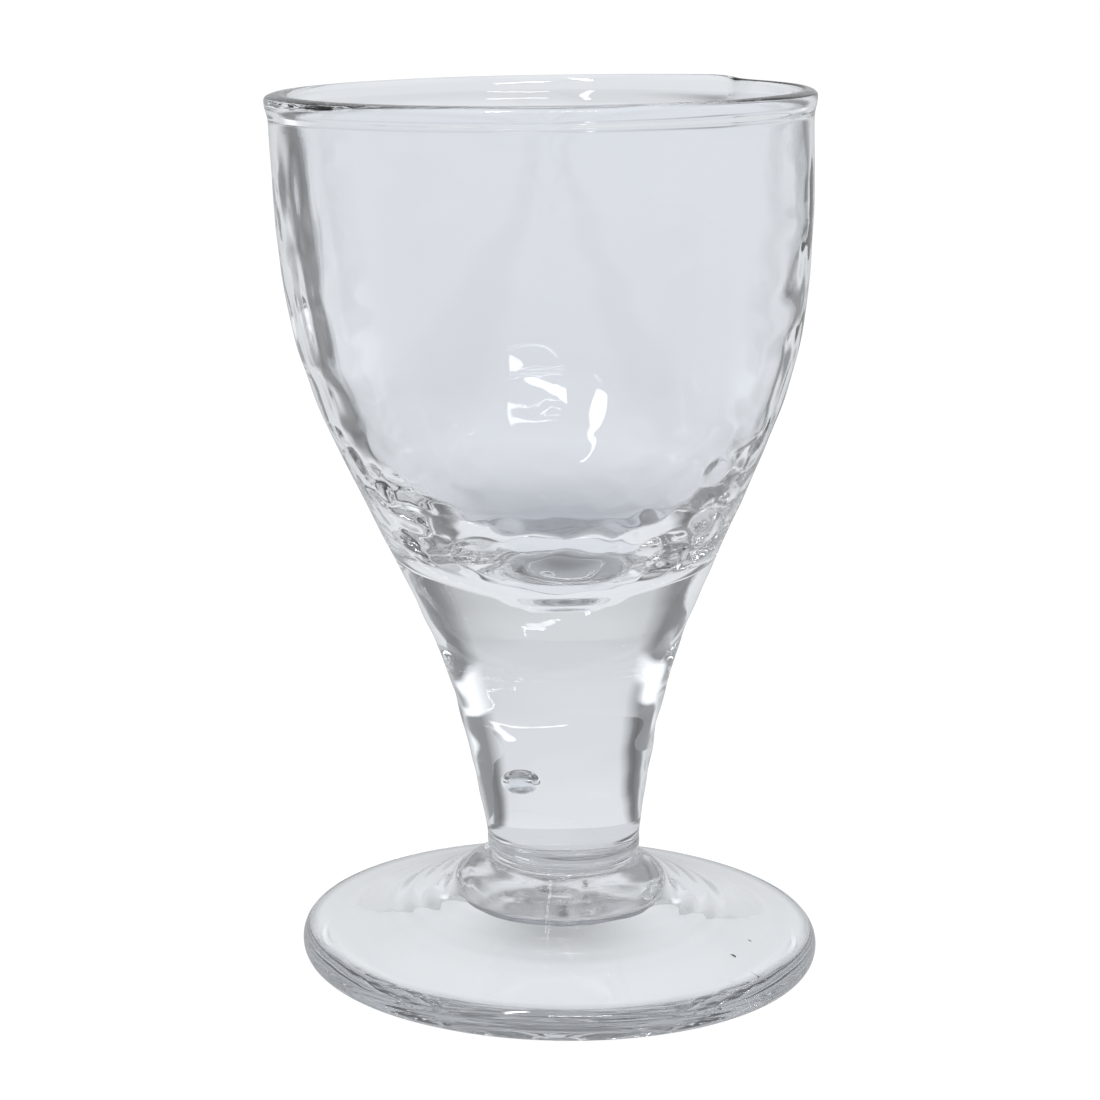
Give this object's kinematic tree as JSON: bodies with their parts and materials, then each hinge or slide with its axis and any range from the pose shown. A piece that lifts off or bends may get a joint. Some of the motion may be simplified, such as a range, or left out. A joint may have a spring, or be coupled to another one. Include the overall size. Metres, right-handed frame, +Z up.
{
  "type": "footed shot glass",
  "caption": "Hand-blown clear shot glass: tapered bowl with a rolled lip and thick floor, drawn solid stem and wide conical foot.",
  "frame": {"origin": "on the table under the middle of the outline, so the foot's own middle lies a little to +X", "axes": "+Z up from the foot to the mouth, -Y towards the viewer, +X to the viewer's right; the bowl leans to -X"},
  "size_m": [0.058, 0.0552, 0.0909],
  "materials": {
    "clear_glass": "clear, fire-polished, faintly cool grey",
    "broken_glass": "rough snapped glass"
  },
  "bodies": {
    "root": {"foot": "clear_glass", "pontil_scar": "broken_glass", "collar": "clear_glass", "stem": "clear_glass", "bowl": "clear_glass", "lip_trail": "clear_glass"}
  },
  "joints": []
}
